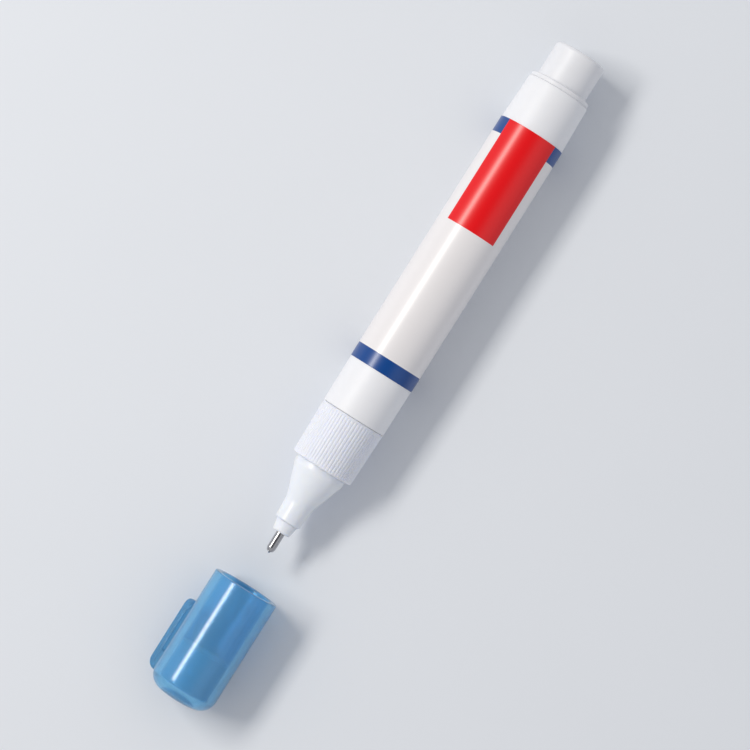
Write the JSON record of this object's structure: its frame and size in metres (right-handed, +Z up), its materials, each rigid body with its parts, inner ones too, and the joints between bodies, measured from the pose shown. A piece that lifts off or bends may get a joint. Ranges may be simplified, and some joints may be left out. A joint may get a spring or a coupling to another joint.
{
  "type": "correction pen",
  "caption": "Squeeze correction pen with a sprung metal tip, milky nozzle, ribbed collar, labelled white barrel, stepped tail and a pull-off blue cap with a pocket clip.",
  "frame": {"origin": "on the table under the middle of the laid-out pen, which is the pen with its cap pulled off in line ahead of the tip", "axes": "+X along the pen from the tip to the tail, +Z up from the table"},
  "size_m": [0.1492, 0.0158, 0.014],
  "materials": {
    "barrel_white": "satin moulded polyethylene, opaque cool white",
    "label_film": "glossy white film printed with blue bands and a red panel",
    "collar_natural": "satin milky polypropylene with fine ribs",
    "nozzle_natural": "milky polypropylene, slightly translucent",
    "washer_rubber": "smooth soft rubber",
    "tip_metal": "drawn and polished nickel silver",
    "needle_steel": "ground stainless steel",
    "spring_steel": "drawn stainless wire",
    "retainer_plastic": "natural acetal",
    "plug_white": "satin moulded polyethylene, cool white",
    "ball_steel": "polished steel",
    "cap_blue": "glossy see-through blue polypropylene",
    "inner_cap_plastic": "soft natural polyethylene"
  },
  "bodies": {
    "pen_body": {"barrel": "barrel_white", "label_sleeve": "label_film", "collar": "collar_natural", "nozzle": "nozzle_natural", "neck_washer": "washer_rubber", "tip_tube": "tip_metal", "valve_spring": "spring_steel", "spring_retainer": "retainer_plastic", "tail_plug": "plug_white"},
    "needle": {"valve_needle": "needle_steel"},
    "ball": {"mixing_ball": "ball_steel"},
    "cap_set": {"cap": "cap_blue", "inner_cap": "inner_cap_plastic"}
  },
  "joints": [
    {"name": "cap_slide", "type": "slide", "parent": "pen_body", "child": "cap_set", "axis": [1, 0, 0], "range_m": [0, 0.0274]},
    {"name": "valve_press", "type": "slide", "parent": "pen_body", "child": "needle", "axis": [1, 0, 0], "range_m": [0, 0.0006], "stiffness_N_per_m": 300, "deforming": ["valve_spring"]},
    {"name": "ball_slide", "type": "slide", "parent": "pen_body", "child": "ball", "axis": [1, 0, 0], "range_m": [-0.0299, 0.0299]}
  ]
}
